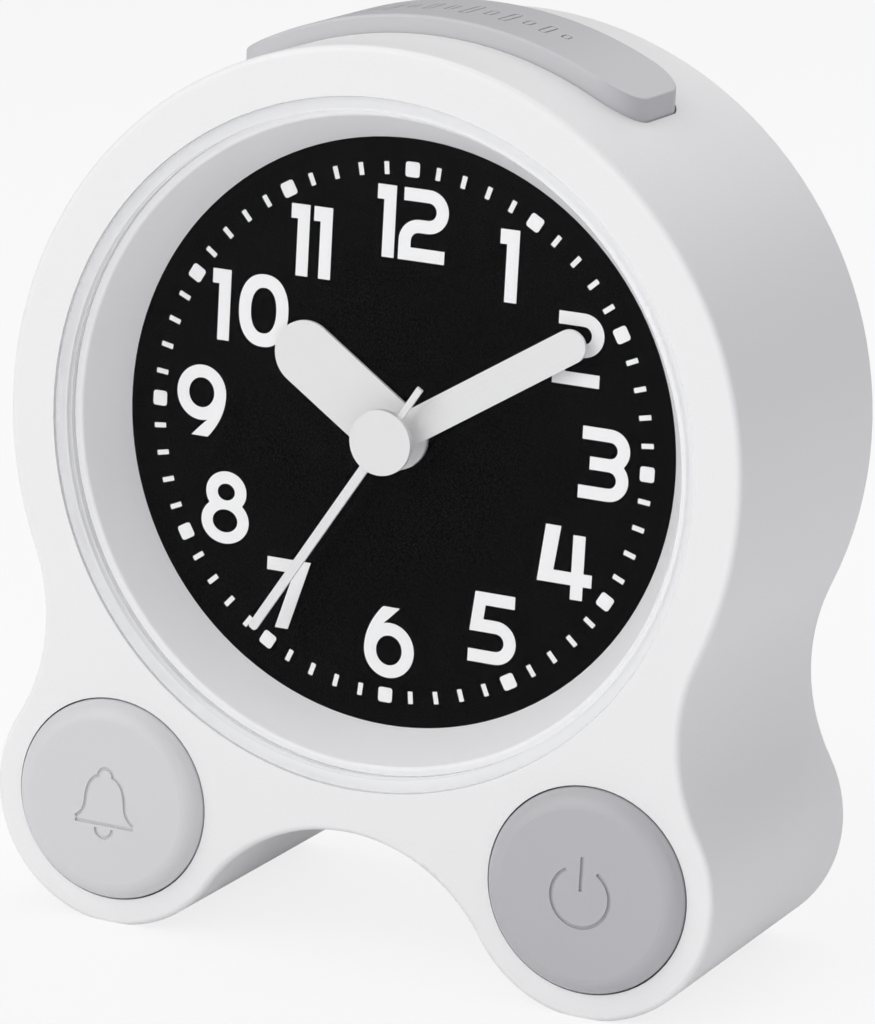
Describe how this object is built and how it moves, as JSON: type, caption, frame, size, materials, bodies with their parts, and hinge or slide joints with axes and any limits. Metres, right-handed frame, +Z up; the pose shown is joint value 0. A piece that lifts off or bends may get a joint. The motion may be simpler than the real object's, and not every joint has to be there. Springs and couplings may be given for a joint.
{
  "type": "talking table clock",
  "caption": "Analogue talking alarm clock with a round head on lobed feet, round push buttons in the feet and a curved speak bar on top",
  "frame": {"origin": "on the table under the middle of the clock's width and depth", "axes": "+X to the reader's right, +Y away from the reader towards the back cover, +Z up"},
  "size_m": [0.095, 0.0448, 0.1138],
  "materials": {
    "housing": "fine sparkle satin",
    "cover": "fine grain satin",
    "clear": "clear moulded plastic, polished",
    "surround": "satin",
    "dial_print": "matt black print",
    "hand_white": "matt white",
    "button_grey": "satin",
    "bar_grey": "satin",
    "inner_white": "plain moulding",
    "inner_clear": "plain moulding",
    "gear_plastic": "self-lubricating plastic",
    "steel": "bright",
    "spring_steel": "nickel plated",
    "iron": "rolled sheet",
    "winding": "enamelled wire",
    "board": "laminate",
    "chip": "moulded",
    "can": "drawn",
    "ferrite": "sintered",
    "switch": "moulded",
    "speaker_steel": "plated",
    "paper": "pressed",
    "cell": "plain sleeve"
  },
  "bodies": {
    "case": {"front_housing": "housing", "rear_cover": "cover", "cover_screws": "steel", "lens": "clear", "reflector_ring": "surround", "dial": "dial_print", "dial_plate": "inner_white", "dial_plate_screws": "steel", "movement_front_case": "inner_clear", "movement_rear_case": "inner_clear", "movement_midplate": "inner_clear", "movement_screws": "steel", "case_screws": "steel", "minute_stator": "iron", "second_stator": "iron", "minute_coil": "winding", "second_coil": "winding", "circuit_board": "board", "board_screws": "steel", "speech_chip": "chip", "quartz_crystal": "can", "capacitors": "can", "ferrite_rod": "ferrite", "antenna_coil": "winding", "tact_switches": "switch", "button_boards": "board", "speaker_frame": "speaker_steel", "speaker_magnet": "ferrite", "speaker_cone": "paper", "talk_bar_springs": "spring_steel", "volume_switch": "can", "battery_cells": "cell", "battery_springs": "spring_steel", "battery_contacts": "spring_steel"},
    "minute": {"minute_wheel": "gear_plastic", "minute_hand": "hand_white"},
    "hour": {"hour_wheel": "gear_plastic", "hour_hand": "hand_white"},
    "transfer": {"transfer_wheel": "gear_plastic"},
    "minute_drive": {"minute_drive_wheel": "gear_plastic"},
    "minute_motor": {"minute_rotor": "gear_plastic"},
    "second": {"second_wheel": "gear_plastic", "second_hand": "hand_white"},
    "second_drive": {"second_drive_wheel": "gear_plastic"},
    "second_motor": {"second_rotor": "gear_plastic"},
    "alarm_key": {"alarm_button": "button_grey", "alarm_plunger": "switch"},
    "on_off_key": {"on_off_button": "button_grey", "on_off_plunger": "switch"},
    "talk_key": {"talk_bar": "bar_grey", "talk_plunger": "switch"},
    "hour_set_key": {"hour_set_button": "button_grey"},
    "minute_set_key": {"minute_set_button": "button_grey"},
    "alarm_set_key": {"alarm_set_button": "button_grey"},
    "voice_set_key": {"voice_set_button": "button_grey"},
    "volume_slider": {"volume_knob": "button_grey"},
    "door": {"battery_door": "cover"}
  },
  "joints": [
    {"name": "minute_spin", "type": "hinge", "parent": "case", "child": "minute", "pos_m": [0, -0.0113, 0.0641], "axis": [0, 1, 0], "continuous": true},
    {"name": "hour_spin", "type": "hinge", "parent": "case", "child": "hour", "pos_m": [0, -0.0113, 0.0641], "axis": [0, 1, 0], "continuous": true},
    {"name": "transfer_spin", "type": "hinge", "parent": "case", "child": "transfer", "pos_m": [0.005, -0.0113, 0.07276], "axis": [0, 1, 0], "continuous": true},
    {"name": "minute_drive_spin", "type": "hinge", "parent": "case", "child": "minute_drive", "pos_m": [-0.00843, -0.0113, 0.06102], "axis": [0, 1, 0], "continuous": true},
    {"name": "minute_motor_spin", "type": "hinge", "parent": "case", "child": "minute_motor", "pos_m": [-0.01686, -0.0113, 0.06102], "axis": [0, 1, 0], "continuous": true},
    {"name": "second_spin", "type": "hinge", "parent": "case", "child": "second", "pos_m": [0, -0.0113, 0.0641], "axis": [0, 1, 0], "continuous": true},
    {"name": "second_drive_spin", "type": "hinge", "parent": "case", "child": "second_drive", "pos_m": [0.00843, -0.0113, 0.06102], "axis": [0, 1, 0], "continuous": true},
    {"name": "second_motor_spin", "type": "hinge", "parent": "case", "child": "second_motor", "pos_m": [0.01686, -0.0113, 0.06102], "axis": [0, 1, 0], "continuous": true},
    {"name": "alarm_press", "type": "slide", "parent": "case", "child": "alarm_key", "axis": [0, 1, 0], "range_m": [0, 0.0008], "stiffness_N_per_m": 1500, "springref_m": -0.0004},
    {"name": "on_off_press", "type": "slide", "parent": "case", "child": "on_off_key", "axis": [0, 1, 0], "range_m": [0, 0.0008], "stiffness_N_per_m": 1500, "springref_m": -0.0004},
    {"name": "talk_press", "type": "slide", "parent": "case", "child": "talk_key", "axis": [0, 0, -1], "range_m": [0, 0.001], "stiffness_N_per_m": 1500, "springref_m": -0.0006, "deforming": ["talk_bar_springs"]},
    {"name": "hour_set_press", "type": "slide", "parent": "case", "child": "hour_set_key", "axis": [0, -1, 0], "range_m": [0, 0.0007], "stiffness_N_per_m": 1500, "springref_m": -0.0004},
    {"name": "minute_set_press", "type": "slide", "parent": "case", "child": "minute_set_key", "axis": [0, -1, 0], "range_m": [0, 0.0007], "stiffness_N_per_m": 1500, "springref_m": -0.0004},
    {"name": "alarm_set_press", "type": "slide", "parent": "case", "child": "alarm_set_key", "axis": [0, -1, 0], "range_m": [0, 0.0007], "stiffness_N_per_m": 1500, "springref_m": -0.0004},
    {"name": "voice_set_press", "type": "slide", "parent": "case", "child": "voice_set_key", "axis": [0, -1, 0], "range_m": [0, 0.0007], "stiffness_N_per_m": 1500, "springref_m": -0.0004},
    {"name": "volume_slide", "type": "slide", "parent": "case", "child": "volume_slider", "axis": [1, 0, 0], "range_m": [0, 0.004]},
    {"name": "door_hinge", "type": "hinge", "parent": "case", "child": "door", "pos_m": [0, 0.0211, 0.02665], "axis": [-1, 0, 0], "range_deg": [0, 90]}
  ],
  "couplings": [
    {"joint": "hour_spin", "follows": "minute_spin", "ratio": 0.083333},
    {"joint": "transfer_spin", "follows": "minute_spin", "ratio": -0.33333},
    {"joint": "minute_drive_spin", "follows": "minute_spin", "ratio": -5},
    {"joint": "minute_motor_spin", "follows": "minute_spin", "ratio": 30},
    {"joint": "second_drive_spin", "follows": "second_spin", "ratio": -5},
    {"joint": "second_motor_spin", "follows": "second_spin", "ratio": 30}
  ]
}
